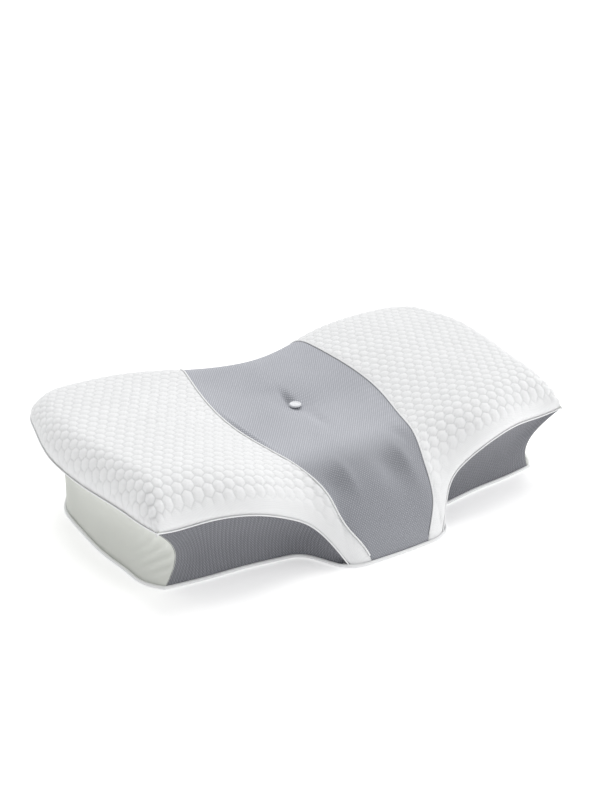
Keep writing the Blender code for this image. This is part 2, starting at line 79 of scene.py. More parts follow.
def through(key, at, column=1):  # a natural cubic through one of the shape's lines
    if (key, column) not in splineCache:
        table = np.array(pillow[key], float)
        keys, values = table[:, 0], table[:, column]
        step = np.diff(keys)
        system, right = np.eye(len(keys)), np.zeros(len(keys))
        for i in range(1, len(keys) - 1):
            system[i, i - 1:i + 2] = step[i - 1], 2 * (step[i - 1] + step[i]), step[i]
            right[i] = 6 * ((values[i + 1] - values[i]) / step[i] - (values[i] - values[i - 1]) / step[i - 1])
        splineCache[key, column] = keys, values, step, np.linalg.solve(system, right)
    keys, values, step, bend = splineCache[key, column]
    at = np.clip(np.asarray(at, float), keys[0], keys[-1])
    i = np.clip(np.searchsorted(keys, at) - 1, 0, len(keys) - 2)
    far = (at - keys[i]) / step[i]
    near = 1 - far
    curve = (near ** 3 - near) * bend[i] + (far ** 3 - far) * bend[i + 1]
    return near * values[i] + far * values[i + 1] + curve * step[i] ** 2 / 6


def rolled(distance, reach, power):
    return (1 - (1 - np.clip(distance / reach, 0, 1)) ** 2) ** power


def eased(value):
    value = np.clip(value, 0, 1)
    return value * value * (3 - 2 * value)


def hump(x, y, atX, atY, wide, long):  # 1 at a place, fading over its width and length
    return np.exp(-((x - atX) / wide) ** 2 - ((y - atY) / long) ** 2)


def topHeight(x, y):
    x = np.abs(x)
    back = np.maximum(through("backEdge", x) - y, 0)
    front = np.maximum(y - through("frontEdge", x), 0)
    end = np.maximum(through("endEdge", y) - x, 0)
    wing = eased((x - .060) / .100)
    reach, power = (lobe + (tip - lobe) * wing for lobe, tip in zip(pillow["lobeRoll"], pillow["wingRoll"]))
    rolls = rolled(back, *pillow["backRoll"]) * rolled(front, reach, power) * rolled(end, *pillow["endRoll"])
    frontRise = np.where(x < pillow["lobeEnd"], 0, through("frontRise", x))
    sides = ((back, through("backEdge", x, 2)), (front, frontRise), (end, through("endEdge", y, 2)))
    weights = [1 / (distance + .0001) ** 2 for distance, _ in sides]
    edge = sum(weight * rise for weight, (_, rise) in zip(weights, sides)) / sum(weights)
    cradle = through("cradleDepth", y) / (1 + (x / pillow["cradleHalfWidth"]) ** 4)
    tuft = pillow["tuftDepth"] * hump(x, y, 0, pillow["tuftY"], *pillow["tuftSize"])
    crown = through("wingHeight", y) - cradle - tuft
    return edge + (crown - edge) * rolls


def topGrid(columns, rows):  # column 0 middle, 1 seam, 2 wing end; row 0 back, 1 front
    column, row = np.meshgrid(np.asarray(columns, float), np.asarray(rows, float), indexing="ij")
    across = np.abs(column)
    x, y = np.full(column.shape, .1), np.zeros(column.shape)
    for _ in range(40):
        seam, end = through("panelSeam", y), through("endEdge", y)
        x = np.where(across <= 1, seam * across, seam + (end - seam) * (across - 1))
        back = through("backEdge", x)
        y = back + (through("frontEdge", x) - back) * row
    return np.stack((np.copysign(x, column), y, topHeight(x, y)), axis=-1)


def wallGrid(kind, side, places, ups, low=None, high=None):  # a wall from its foot up to the top edge
    place, up = np.meshgrid(np.asarray(places, float), np.asarray(ups, float), indexing="ij")
    if kind == "front":
        x, y, rise = place, through("frontEdge", place), through("frontRise", place)
        lobeEnd, wingTip = pillow["lobeEnd"], pillow["wingTip"]
        footX = lobeEnd + (x - lobeEnd) * (pillow["footTip"] - lobeEnd) / (wingTip - lobeEnd)
        footY = through("frontFoot", footX)
        waistX, waistY = pillow["endWaist"] * eased(1 - (wingTip - x) / .080), pillow["frontWaist"]
        backness = 0
    elif kind == "end":
        y, x, rise = place, through("endEdge", place), through("endEdge", place, 2)
        (low0, high0), (footLow, footHigh) = pillow["endRange"], pillow["endFootRange"]
        along = (y - low0) / (high0 - low0)
        footY = footLow + along * (footHigh - footLow)
        footX = through("endFoot", footY)
        backness = eased((y - .08) / .09)
        waistX, waistY = pillow["endWaist"] * (1 - backness), pillow["frontWaist"] * eased(1 - along * 5)
    else:
        x, y, rise = place, through("backEdge", place), through("backEdge", place, 2)
        (cornerX, cornerY), backFoot, straight = pillow["backCorner"], pillow["backFoot"], pillow["straight"]
        footX = x * cornerX / pillow["backTip"]
        corner = np.maximum(0, footX - straight) / (cornerX - straight)
        footY = backFoot - (backFoot - cornerY) * corner ** 2
        backness, waistX, waistY = 1, 0, 0
    z = rise * up
    if low is not None:
        z = low + (high - low) * up
    up = z / np.maximum(rise, 1e-6)
    upright = pillow["upright"]
    flare = (np.maximum(0, z - upright) / np.maximum(rise - upright, .001)) ** 1.6
    out = up + (flare - up) * backness
    pinch = np.sin(np.pi * np.clip(up, 0, 1))
    return np.stack((side * (footX + (x - footX) * out - waistX * pinch),
                     footY + (y - footY) * out + waistY * pinch, z + 0 * x), axis=-1)


def normalsOf(grid):
    across, along = np.gradient(grid, axis=0), np.gradient(grid, axis=1)
    normal = np.cross(across, along)
    size = np.linalg.norm(normal, axis=-1, keepdims=True)
    normal = normal / np.maximum(size, 1e-12)
    if ((grid - middle) * normal).sum() < 0:
        normal = -normal
    return normal


def ranOut(grid):  # distance run across and along a grid, in metres
    across = np.linalg.norm(np.diff(grid, axis=0), axis=-1)
    along = np.linalg.norm(np.diff(grid, axis=1), axis=-1)
    across = np.concatenate((np.zeros((1, grid.shape[1])), np.cumsum(across, axis=0)), axis=0)
    along = np.concatenate((np.zeros((grid.shape[0], 1)), np.cumsum(along, axis=1)), axis=1)
    return across, along


def fromSides(grid):  # distance of each point from the four sides of its grid
    across, along = ranOut(grid)
    return across, across[-1:] - across, along, along[:, -1:] - along


def softWaves(x, y, seed, size, count=9):  # gentle uneven cloth, the same on each run
    draw = np.random.default_rng(seed)
    total = np.zeros(np.shape(x))
    for _ in range(count):
        angle, turn = draw.uniform(0, math.tau, 2)
        length = size * draw.uniform(.6, 1.9)
        total += np.sin((x * math.cos(angle) + y * math.sin(angle)) * math.tau / length + turn)
    return total / count


# Meshes

def added(name, data):
    item = bpy.data.objects.new(name, data)
    bpy.context.scene.collection.objects.link(item)
    return item


def setSpread(mesh, cloth, shade):  # what the finishes read: cloth place and painted shade of each point
    spread = mesh.attributes.new("cloth", "FLOAT_VECTOR", "POINT")
    spread.data.foreach_set("vector", np.asarray(cloth, np.float32).reshape(-1, 3).ravel())
    value = mesh.attributes.new("shade", "FLOAT", "POINT")
    value.data.foreach_set("value", np.asarray(shade, np.float32).ravel())


def meshFrom(name, points, faces, cloth, shade, material):
    mesh = bpy.data.meshes.new(name)
    points = np.asarray(points, np.float32).reshape(-1, 3)
    sizes = np.array([len(face) for face in faces], np.int32)
    mesh.vertices.add(len(points))
    mesh.vertices.foreach_set("co", points.ravel())
    mesh.loops.add(int(sizes.sum()))
    mesh.loops.foreach_set("vertex_index", np.concatenate([np.asarray(face, np.int32) for face in faces])
                           if len(set(sizes)) > 1 else np.asarray(faces, np.int32).ravel())
    mesh.polygons.add(len(sizes))
    mesh.polygons.foreach_set("loop_start", np.concatenate(((0,), np.cumsum(sizes)[:-1])).astype(np.int32))
    mesh.update(calc_edges=True)
    mesh.validate()
    mesh.polygons.foreach_set("use_smooth", np.ones(len(mesh.polygons), bool))
    setSpread(mesh, cloth, shade)
    item = added(name, mesh)
    mesh.materials.append(material)
    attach(item, "pillow")
    return item


def gridFaces(across, along, outward=True, closed=False):
    numbers = np.arange(across * along).reshape(across, along)
    if closed:
        numbers = np.concatenate((numbers, numbers[:1]), axis=0)
    a, b, c, d = numbers[:-1, :-1], numbers[1:, :-1], numbers[1:, 1:], numbers[:-1, 1:]
    order = (a, b, c, d) if outward else (a, d, c, b)
    return np.stack([corner.ravel() for corner in order], axis=1)


def ringFaces(rings, sides, start=0, closed=False):  # a skin over rings of points, capped unless it closes
    faces = []
    for i in range(rings if closed else rings - 1):
        a, b = start + i * sides, start + (i + 1) % rings * sides
        for j in range(sides):
            k = (j + 1) % sides
            faces.append((a + j, a + k, b + k, b + j))
    if not closed:
        last = start + (rings - 1) * sides
        faces.append(tuple(range(start, start + sides))[::-1])
        faces.append(tuple(range(last, last + sides)))
    return faces


def seamShade(grid, depth, width):  # painted shade: darker towards the seams round a cut, where the cloth dips
    return 1 - depth * np.exp(-np.minimum.reduce(fromSides(grid)) / width)


def facesOut(grid, normal):
    i, j = grid.shape[0] // 2, grid.shape[1] // 2
    first = np.cross(grid[i + 1, j] - grid[i, j], grid[i, j + 1] - grid[i, j])
    return bool(first @ normal[i, j] > 0)


def panel(name, grid, normal, lift, cloth, shade, material, tuck=.0028, dip=.0008):
    # One cut of cloth: lifted off the shape, dipping at its seams, its edges turned in as seam allowance.
    nearest = np.minimum.reduce(fromSides(grid))
    lift = lift * (1 - np.exp(-(nearest / .0045) ** 2)) - dip * np.exp(-nearest / .0022)
    placed = grid + normal * lift[..., None]
    clothPoints = np.stack((cloth[0], cloth[1], 0 * cloth[0]), axis=-1)

    def ringed(values, fold):
        values = np.concatenate((values[:1], values, values[-1:]), axis=0)
        values = np.concatenate((values[:, :1], values, values[:, -1:]), axis=1)
        if fold is not None:
            for ends in (np.s_[0, :], np.s_[-1, :], np.s_[:, 0], np.s_[:, -1]):
                values[ends] = values[ends] - fold[ends] * tuck
        return values

    fold = ringed(normal, None)
    placed = ringed(placed, fold)
    placed[..., 2] = np.maximum(placed[..., 2], .0003)
    faces = gridFaces(*placed.shape[:2], facesOut(grid, normal))
    return meshFrom(name, placed, faces, ringed(clothPoints, None), ringed(shade, None), material)


def aheadOf(path, closed):
    ahead = np.roll(path, -1, axis=0) - np.roll(path, 1, axis=0)
    if not closed:
        ahead[0], ahead[-1] = path[1] - path[0], path[-1] - path[-2]
    return ahead


def tube(name, path, radius, material, sides=10, closed=False):
    path = np.asarray(path, float)
    count = len(path)
    ahead = aheadOf(path, closed)
    ahead /= np.linalg.norm(ahead, axis=1, keepdims=True)
    up = np.tile((0.0, 0.0, 1.0), (count, 1))
    steep = np.abs(ahead[:, 2]) > .95
    up[steep] = (0, 1, 0)
    side = np.cross(ahead, up)
    side /= np.linalg.norm(side, axis=1, keepdims=True)
    up = np.cross(side, ahead)
    run = np.concatenate(((0,), np.cumsum(np.linalg.norm(np.diff(path, axis=0), axis=1))))
    radii = np.broadcast_to(np.asarray(radius, float), (count,))
    angles = np.arange(sides) * math.tau / sides
    ring = side[:, None] * np.cos(angles)[:, None] + up[:, None] * np.sin(angles)[:, None]
    points = path[:, None] + ring * radii[:, None, None]
    faces = ringFaces(count, sides, closed=closed)
    cloth = np.stack((np.repeat(run[:, None], sides, 1), np.tile(angles * np.max(radii), (count, 1)),
                      np.zeros((count, sides))), axis=-1)
    return closedMesh(name, points, faces, cloth, material)


def closedMesh(name, points, faces, cloth, material):
    item = meshFrom(name, points, faces, cloth, np.ones(np.size(points) // 3), material)
    tidyNormals(item)
    return item


def tidyNormals(item):
    work = bmesh.new()
    work.from_mesh(item.data)
    bmesh.ops.recalc_face_normals(work, faces=work.faces)
    work.to_mesh(item.data)
    work.free()


# Finishes: shared groups first, then one material for each kind of cloth, thread and metal

def newGroup(name, inputs, outputs):
    group = bpy.data.node_groups.new(name, "ShaderNodeTree")
    group.interface.new_socket("Cloth", in_out="INPUT", socket_type="NodeSocketVector")
    for label, value in inputs.items():
        group.interface.new_socket(label, in_out="INPUT", socket_type="NodeSocketFloat").default_value = value
    for label in outputs:
        group.interface.new_socket(label, in_out="OUTPUT", socket_type="NodeSocketFloat")
    return group, group.nodes.new("NodeGroupInput"), group.nodes.new("NodeGroupOutput")


def calc(tree, operation, *values):
    node = tree.nodes.new("ShaderNodeMath")
    node.operation = operation
    for i, value in enumerate(values):
        if isinstance(value, (int, float)):
            node.inputs[i].default_value = value
        else:
            tree.links.new(value, node.inputs[i])
    return node.outputs[0]


def weighted(tree, *parts):  # a sum of sockets, each times its share
    total = None
    for socket, share in parts:
        part = calc(tree, "MULTIPLY", socket, share)
        total = part if total is None else calc(tree, "ADD", total, part)
    return total


def ranged(tree, value, low, high, toLow=0.0, toHigh=1.0):
    node = tree.nodes.new("ShaderNodeMapRange")
    node.interpolation_type = "SMOOTHSTEP"
    for i, number in zip((1, 2, 3, 4), (low, high, toLow, toHigh)):
        node.inputs[i].default_value = number
    tree.links.new(value, node.inputs[0])
    return node.outputs[0]


def noiseOf(tree, vector, scale, detail=2.0):
    node = tree.nodes.new("ShaderNodeTexNoise")
    node.inputs["Detail"].default_value = detail
    tree.links.new(vector, node.inputs["Vector"])
    if isinstance(scale, (int, float)):
        node.inputs["Scale"].default_value = scale
    else:
        tree.links.new(scale, node.inputs["Scale"])
    return node.outputs[0]


def splitOf(tree, vector):
    node = tree.nodes.new("ShaderNodeSeparateXYZ")
    tree.links.new(vector, node.inputs[0])
    return node.outputs[0], node.outputs[1]


# dotMesh: staggered raised stitches of a spacer mesh, and the ribs they stand in
netSizes = {"Across": .0017, "Along": .0021, "Wander": .15}
dotMesh, entry, leave = newGroup("dotMesh", netSizes, ["Dots", "Ribs"])
u, v = splitOf(dotMesh, entry.outputs["Cloth"])
wander = calc(dotMesh, "MULTIPLY", noiseOf(dotMesh, entry.outputs["Cloth"], 60.0), entry.outputs["Wander"])
turns = []
for place, spacing in ((u, "Across"), (v, "Along")):
    shifted = calc(dotMesh, "ADD", calc(dotMesh, "DIVIDE", place, entry.outputs[spacing]), wander)
    turns.append(calc(dotMesh, "MULTIPLY", shifted, math.tau / 2))
acrossTurn, alongTurn = turns
crossed = calc(dotMesh, "MULTIPLY", calc(dotMesh, "COSINE", acrossTurn), calc(dotMesh, "COSINE", alongTurn))
dotMesh.links.new(ranged(dotMesh, crossed, .05, .80), leave.inputs["Dots"])
ribWave = calc(dotMesh, "COSINE", calc(dotMesh, "MULTIPLY", acrossTurn, 2.0))
dotMesh.links.new(ranged(dotMesh, ribWave, -1.0, 1.0), leave.inputs["Ribs"])

# jersey: rows of small V-shaped loops
jersey, entry, leave = newGroup("jersey", {"Wale": .0011, "Wander": .4}, ["Loops"])
u, v = splitOf(jersey, entry.outputs["Cloth"])
wander = calc(jersey, "MULTIPLY", noiseOf(jersey, entry.outputs["Cloth"], 90.0), entry.outputs["Wander"])
columnAt = calc(jersey, "ADD", calc(jersey, "DIVIDE", u, entry.outputs["Wale"]), wander)
fromMiddle = calc(jersey, "ABSOLUTE", calc(jersey, "SUBTRACT", calc(jersey, "FRACT", columnAt), .5))
rowAt = calc(jersey, "ADD", calc(jersey, "DIVIDE", v, entry.outputs["Wale"]), fromMiddle)
rowWave = calc(jersey, "SINE", calc(jersey, "MULTIPLY", rowAt, math.tau))
sideWave = calc(jersey, "SINE", calc(jersey, "MULTIPLY", fromMiddle, math.tau))
loopWave = calc(jersey, "ADD", rowWave, sideWave)
jersey.links.new(ranged(jersey, loopWave, -1.0, 2.0), leave.inputs["Loops"])

# fibres: fine fuzz and slow patches of tone
fibres, entry, leave = newGroup("fibres", {"Grain": 1400.0, "Patch": 9.0}, ["Fuzz", "Cloud"])
fibres.links.new(noiseOf(fibres, entry.outputs["Cloth"], entry.outputs["Grain"], 3.0), leave.inputs["Fuzz"])
patches = noiseOf(fibres, entry.outputs["Cloth"], entry.outputs["Patch"], 2.0)
fibres.links.new(ranged(fibres, patches, .3, .7), leave.inputs["Cloud"])


class Finish:  # a material being wired up
    def __init__(self, name, roughness=.85, metallic=0.0, sheen=0.0):
        self.material = bpy.data.materials.new(name)
        self.material.use_nodes = True
        self.tree = self.material.node_tree
        self.shader = self.tree.nodes["Principled BSDF"]
        self.shader.inputs["Roughness"].default_value = roughness
        self.shader.inputs["Metallic"].default_value = metallic
        self.shader.inputs["Sheen Weight"].default_value = sheen
        self.shader.inputs["Sheen Roughness"].default_value = .5

    def attribute(self, name):
        node = self.tree.nodes.new("ShaderNodeAttribute")
        node.attribute_name = name
        return node.outputs["Vector" if name == "cloth" else "Fac"]

    def objectPlace(self):
        return self.tree.nodes.new("ShaderNodeTexCoord").outputs["Object"]

    def group(self, group, cloth, **values):
        node = self.tree.nodes.new("ShaderNodeGroup")
        node.node_tree = group
        self.tree.links.new(cloth, node.inputs["Cloth"])
        for label, value in values.items():
            node.inputs[label].default_value = value
        return node.outputs

    def mixed(self, share, low, high):
        node = self.tree.nodes.new("ShaderNodeMix")
        node.data_type = "RGBA"
        self.tree.links.new(share, node.inputs[0])
        for value, socket in ((low, node.inputs[6]), (high, node.inputs[7])):
            if isinstance(value, tuple):
                socket.default_value = (*value, 1)
            else:
                self.tree.links.new(value, socket)
        return node.outputs[2]

    def colour(self, socket):
        self.tree.links.new(socket, self.shader.inputs["Base Color"])

    def shaded(self, tone, dark, light, seamShade):  # painted shade: darker down in seams and quilt lines
        sunk = tuple(channel * seamShade for channel in dark)
        base = self.mixed(tone, dark, light)
        self.colour(self.mixed(self.attribute("shade"), sunk, base))

    def roughen(self, share, low, high):
        self.tree.links.new(ranged(self.tree, share, 0.0, 1.0, low, high), self.shader.inputs["Roughness"])

    def bump(self, height, distance, strength=1.0):
        node = self.tree.nodes.new("ShaderNodeBump")
        node.inputs["Strength"].default_value = strength
        node.inputs["Distance"].default_value = distance
        self.tree.links.new(height, node.inputs["Height"])
        self.tree.links.new(node.outputs[0], self.shader.inputs["Normal"])


def knitCloth(name, light, dark, wale, seamShade=.80, height=.00025, sheen=.15):
    # White knitted cloth: loops, fuzz, slow patches, and painted shade darker down in its seams and quilt
    # lines.
    finish = Finish(name, .88, sheen=sheen)
    cloth = finish.attribute("cloth")
    loops = finish.group(jersey, cloth, Wale=wale)["Loops"]
    fibre = finish.group(fibres, cloth)
    tree = finish.tree
    tone = weighted(tree, (loops, .45), (fibre["Fuzz"], .35), (fibre["Cloud"], .20))
    finish.shaded(tone, dark, light, seamShade)
    finish.roughen(fibre["Fuzz"], .80, .95)
    finish.bump(calc(tree, "ADD", loops, calc(tree, "MULTIPLY", fibre["Fuzz"], .6)), height, .7)
    return finish.material


def meshCloth(name, light, dark, across, along, ribs=0.0, height=.0005, seamShade=.55):
    # Grey spacer mesh: pale raised stitches over a darker ground, with painted shade from each panel.
    finish = Finish(name, .80, sheen=.12)
    cloth = finish.attribute("cloth")
    net = finish.group(dotMesh, cloth, Across=across, Along=along)
    fibre = finish.group(fibres, cloth, Grain=900.0, Patch=7.0)
    tree = finish.tree
    tone = weighted(tree, (net["Dots"], .72 - ribs), (net["Ribs"], ribs), (fibre["Fuzz"], .16),
                    (fibre["Cloud"], .12))
    finish.shaded(tone, dark, light, seamShade)
    finish.roughen(net["Dots"], .88, .68)
    finish.bump(calc(tree, "ADD", net["Dots"], calc(tree, "MULTIPLY", fibre["Fuzz"], .35)), height, .8)
    return finish.material


def speckled(name, light, dark, grain, roughness, metallic=0.0, height=.00005, patch=40.0):
    # Foam, moulded, painted and cast pieces: fine grain over slow patches.
    finish = Finish(name, roughness, metallic)
    fibre = finish.group(fibres, finish.objectPlace(), Grain=grain, Patch=patch)
    tone = weighted(finish.tree, (fibre["Fuzz"], .6), (fibre["Cloud"], .4))
    finish.colour(finish.mixed(tone, dark, light))
    finish.roughen(fibre["Cloud"], max(.05, roughness - .08), min(1.0, roughness + .08))
    finish.bump(fibre["Fuzz"], height, .6)
    return finish.material


quiltedKnit = knitCloth("quiltedKnit", (.86, .865, .87), (.76, .765, .77), .0011)
plainTricot = knitCloth("plainTricot", (.72, .735, .695), (.62, .635, .595), .0009, height=.00018)
baseTricot = knitCloth("baseTricot", (.74, .74, .73), (.60, .60, .59), .0016, height=.0003)
linerKnit = knitCloth("linerKnit", (.82, .82, .81), (.70, .70, .69), .0014)
pipingKnit = knitCloth("pipingKnit", (.90, .905, .91), (.80, .805, .81), .0007, height=.00012)
centreMesh = meshCloth("centreMesh", (.66, .67, .71), (.30, .31, .345), .0017, .0021)
sideMesh = meshCloth("sideMesh", (.30, .305, .33), (.125, .128, .145), .00152, .0021, ribs=.10, height=.0004)
memoryFoam = speckled("memoryFoam", (.90, .87, .78), (.78, .75, .66), 900.0, .95, height=.0006)
zipTapeWeave = knitCloth("zipTapeWeave", (.80, .80, .79), (.64, .64, .63), .0008, height=.00012)
zipCoil = speckled("zipCoil", (.80, .80, .79), (.66, .66, .65), 3000.0, .42)
zipMetal = speckled("zipMetal", (.66, .67, .69), (.50, .51, .53), 5000.0, .30, 1.0, .00001, patch=300.0)
sewingThread = speckled("sewingThread", (.88, .88, .87), (.72, .72, .71), 6000.0, .75)
buttonCover = speckled("buttonCover", (.80, .81, .83), (.62, .63, .66), 1800.0, .45, 0.0, .00008, 120.0)
anchorPlastic = speckled("anchorPlastic", (.84, .84, .83), (.74, .74, .73), 2500.0, .50)
cordBraid = speckled("cordBraid", (.82, .82, .80), (.62, .62, .60), 3500.0, .80, height=.0001)
print("finishes ready")


# Cloth coordinates of the top: plan distances, with the length that its rolled edges add, in metres

def arcExtra(height, reach, power):  # length gained over a roll, by plan distance from its edge
    distance = np.linspace(0, reach, 400)
    rise = height * rolled(distance, reach, power)
    step = np.sqrt(np.diff(distance) ** 2 + np.diff(rise) ** 2) - np.diff(distance)
    return distance, np.concatenate((np.cumsum(step[::-1])[::-1], (0,)))


endRun = arcExtra(.044, .060, .60)
backRun = arcExtra(.036, .042, .50)
lobeRun = arcExtra(.095, .095, .70)


def clothOf(x, y, onCentre=False):
    end = np.maximum(through("endEdge", y) - np.abs(x), 0)
    back = np.maximum(through("backEdge", np.abs(x)) - y, 0)
    u = (np.abs(x) + np.interp(end, *endRun)) * np.sign(x)
    v = y + np.interp(back, *backRun)
    if onCentre:
        v = v - np.interp(np.maximum(y - through("frontEdge", np.abs(x)), 0), *lobeRun)
    return u, v


def packedEnds(count, pack=.45):  # 0 to 1, closer together at both ends
    t = np.linspace(0, 1, count)
    return t - pack * np.sin(math.tau * t) / math.tau


# Wings: quilted knit, raised in rows of six-sided cells that flatten out down the front

wing = {"columns": 200, "rows": 330, "cell": .0133, "puff": .0016, "roundness": 2.4, "wave": .0007,
        "drift": .0012, "flatEdge": .0050, "flatFront": .026, "gather": .0011, "gatherPitch": .011,
        "grooveShade": .75}


def cellShape(u, v, pitch):  # 1 in the middle of a cell, 0 along its quilt line
    gap = pitch * math.sqrt(3)
    best = None
    for shiftU, shiftV in ((0, 0), (pitch / 2, gap / 2)):
        du = u - shiftU - pitch * np.round((u - shiftU) / pitch)
        dv = v - shiftV - gap * np.round((v - shiftV) / gap)
        size = np.maximum(np.abs(du), np.abs(du) / 2 + np.abs(dv) * math.sqrt(3) / 2) / (pitch / 2)
        best = size if best is None else np.minimum(best, size)
    return 1 - np.clip(best, 0, 1) ** wing["roundness"]


def makeWing(name, side):
    t = np.linspace(0, 1, wing["columns"])
    grid = topGrid(side * (1 + 1.45 * t - .45 * t ** 2), packedEnds(wing["rows"]))
    x, y = grid[..., 0], grid[..., 1]
    normal = normalsOf(grid)
    cloth = clothOf(x, y)
    draw = softWaves(x, y, 5, .05)
    drift = wing["drift"] * draw, wing["drift"] * softWaves(x, y, 6, .06)
    cells = cellShape(cloth[0] + drift[0], cloth[1] + drift[1], wing["cell"])
    front = y - through("frontEdge", np.abs(x))
    back = through("backEdge", np.abs(x)) - y
    end = through("endEdge", y) - np.abs(x)
    fade = wing["flatEdge"] + wing["flatFront"] * np.exp(-((np.abs(x) - .070) / .075) ** 2)
    strength = eased((front - fade * .40) / fade) * eased((end + .0002) / .0035) * eased((back + .001) / .006)
    strength = .40 * eased((front - .003) / .012) + .60 * strength
    lift = wing["puff"] * cells * strength * (1 + .18 * draw) + wing["wave"] * draw
    gather = hump(np.abs(x), y, .288, -.150, .016, .020)  # the cloth gathers a little at the front tip
    lift = lift + wing["gather"] * gather * np.sin(cloth[1] * math.tau / wing["gatherPitch"])
    # painted shade: darker in the quilt grooves between cells and towards the seams
    shade = (1 - wing["grooveShade"] * strength * (1 - eased(cells / .32))) * seamShade(grid, .35, .0018)
    return panel(name, grid, normal, lift, cloth, shade, quiltedKnit)


leftWing = makeWing("leftWing", -1)
rightWing = makeWing("rightWing", 1)
print("wings quilted")

# Centre panel: grey mesh, pulled down at the tuft, scooped twice over the neck roll

centre = {"columns": 190, "rows": 330, "crease": .0062, "scoop": .0085, "scoopX": .042, "scoopY": -.163,
          "lip": .0032, "wave": .0006}


def centreLift(x, y):  # how far the centre panel stands off the plain shape
    lift = centre["wave"] * softWaves(x, y, 11, .07)
    lift = lift - centre["crease"] * hump(x, y, -.001, .027, .0055, .016)
    lift = lift - .0022 * hump(x, y, .005, -.030, .008, .026) - .0016 * hump(x, y, -.018, .045, .020, .012)
    for side, shift in ((-1, -.015), (1, -.016)):  # the two scoops, each with a low fold beside it
        at = side * centre["scoopX"] + shift
        lift = lift - centre["scoop"] * hump(x, y, at, centre["scoopY"], .0165, .022)
        lift = lift + .0028 * hump(x, y, at + .022, centre["scoopY"] + .006, .0075, .022)
    return lift - .0026 * hump(x, y, .068, -.120, .009, .022)


def makeCentre():
    t = np.linspace(-1, 1, centre["columns"])
    grid = topGrid(t, packedEnds(centre["rows"]))
    x, y = grid[..., 0], grid[..., 1]
    normal = normalsOf(grid)
    lift = centreLift(x, y)
    fromLeft = through("panelSeam", y) + x  # a fold of the panel lies over its left seam
    fold = np.exp(-((y + .030) / .042) ** 2)
    lift = lift + fold * (centre["lip"] * np.exp(-((fromLeft - .0075) / .0048) ** 2)
                          - .0018 * np.exp(-(fromLeft / .0026) ** 2))
    # painted shadow along the left seam, under the fold's lip
    shade = 1 - .55 * fold * np.exp(-(fromLeft / .0032) ** 2)
    # painted shade in the crease beside the tuft
    shade = shade * (1 - .35 * hump(x, y, -.001, .024, .0060, .012))
    shade = shade * (1 - .50 * eased((-.085 - y) / .065))  # painted shade: the front slope over the neck roll darker, as if turned from the light
    # painted shade towards the seams
    shade = shade * seamShade(grid, .45, .0016)
    return panel("centrePanel", grid, normal, lift, clothOf(x, y, True), shade, centreMesh)


centrePanel = makeCentre()
print("centre panel laid")

# Walls: ribbed mesh in the arm recesses, plain tricot at the ends and along the back

wall = {"rib": .0046, "ribHeight": .00030, "ripple": .0018, "wave": .0008, "pull": .0012}


def makeFront(name, side):
    places = np.linspace(pillow["lobeEnd"] + .0006, pillow["wingTip"], 430)
    grid = wallGrid("front", side, places, packedEnds(60))
    normal = normalsOf(grid)
    across, along = ranOut(grid)
    run = across.mean(axis=1, keepdims=True) + 0 * along
    ribs = np.cos(run * math.tau / wall["rib"])
    high = grid[..., 2]
    lift = wall["ribHeight"] * ribs + wall["wave"] * softWaves(grid[..., 0], high, 21, .08)
    fromTip = pillow["wingTip"] - np.abs(grid[..., 0])  # pulled folds at the outer corner
    pulled = wall["pull"] * np.exp(-(fromTip / .018) ** 2)
    lift = lift + pulled * np.sin((high + fromTip * .8) * math.tau / .019)
    # darker in the rib troughs; painted shade towards the seams
    shade = (1 - .30 * eased(-ribs)) * seamShade(grid, .45, .0016)
    return panel(name, grid, normal, lift, (run, along), shade, sideMesh)


def makeEnd(name, side):
    grid = wallGrid("end", side, np.linspace(*pillow["endRange"], 240), packedEnds(84))
    normal = normalsOf(grid)
    across, along = ranOut(grid)
    high, y = grid[..., 2], grid[..., 1]
    nearFront = np.exp(-((y + .140) / .040) ** 2)
    ripple = np.sin((high * 1.1 + y * .9) * math.tau / .017 + 1.2 * softWaves(y, high, 31, .05))
    lift = wall["ripple"] * nearFront * ripple * np.sin(np.pi * np.clip(high / .09, 0, 1))
    lift = lift + wall["wave"] * 1.6 * softWaves(y, high, 32 + side, .09)
    lift = lift + .0006 * np.exp(-((high - .083) / .007) ** 2) * softWaves(y, high, 35, .018)
    # painted shade towards the seams
    return panel(name, grid, normal, lift, (across, along), seamShade(grid, .30, .0018), plainTricot)


zipper = {"height": .027, "half": .226, "foldEnd": .2285, "foldRun": .006, "opening": .0056, "tape": .0006,
          "tapeWidth": .0109, "gap": .0008, "wire": .00027, "pitch": .0014, "stitch": .0026,
          "stitchGap": .0036}


def pastZip(x):  # 0 along the zip, 1 where the two strips have met
    return eased((np.abs(x) - zipper["foldEnd"]) / zipper["foldRun"])


def zipEdge(x, mark):  # each strip's fold leaves the zip open
    return (zipper["height"] + mark * zipper["opening"]) * (1 - pastZip(x)) + zipper["height"] * pastZip(x)


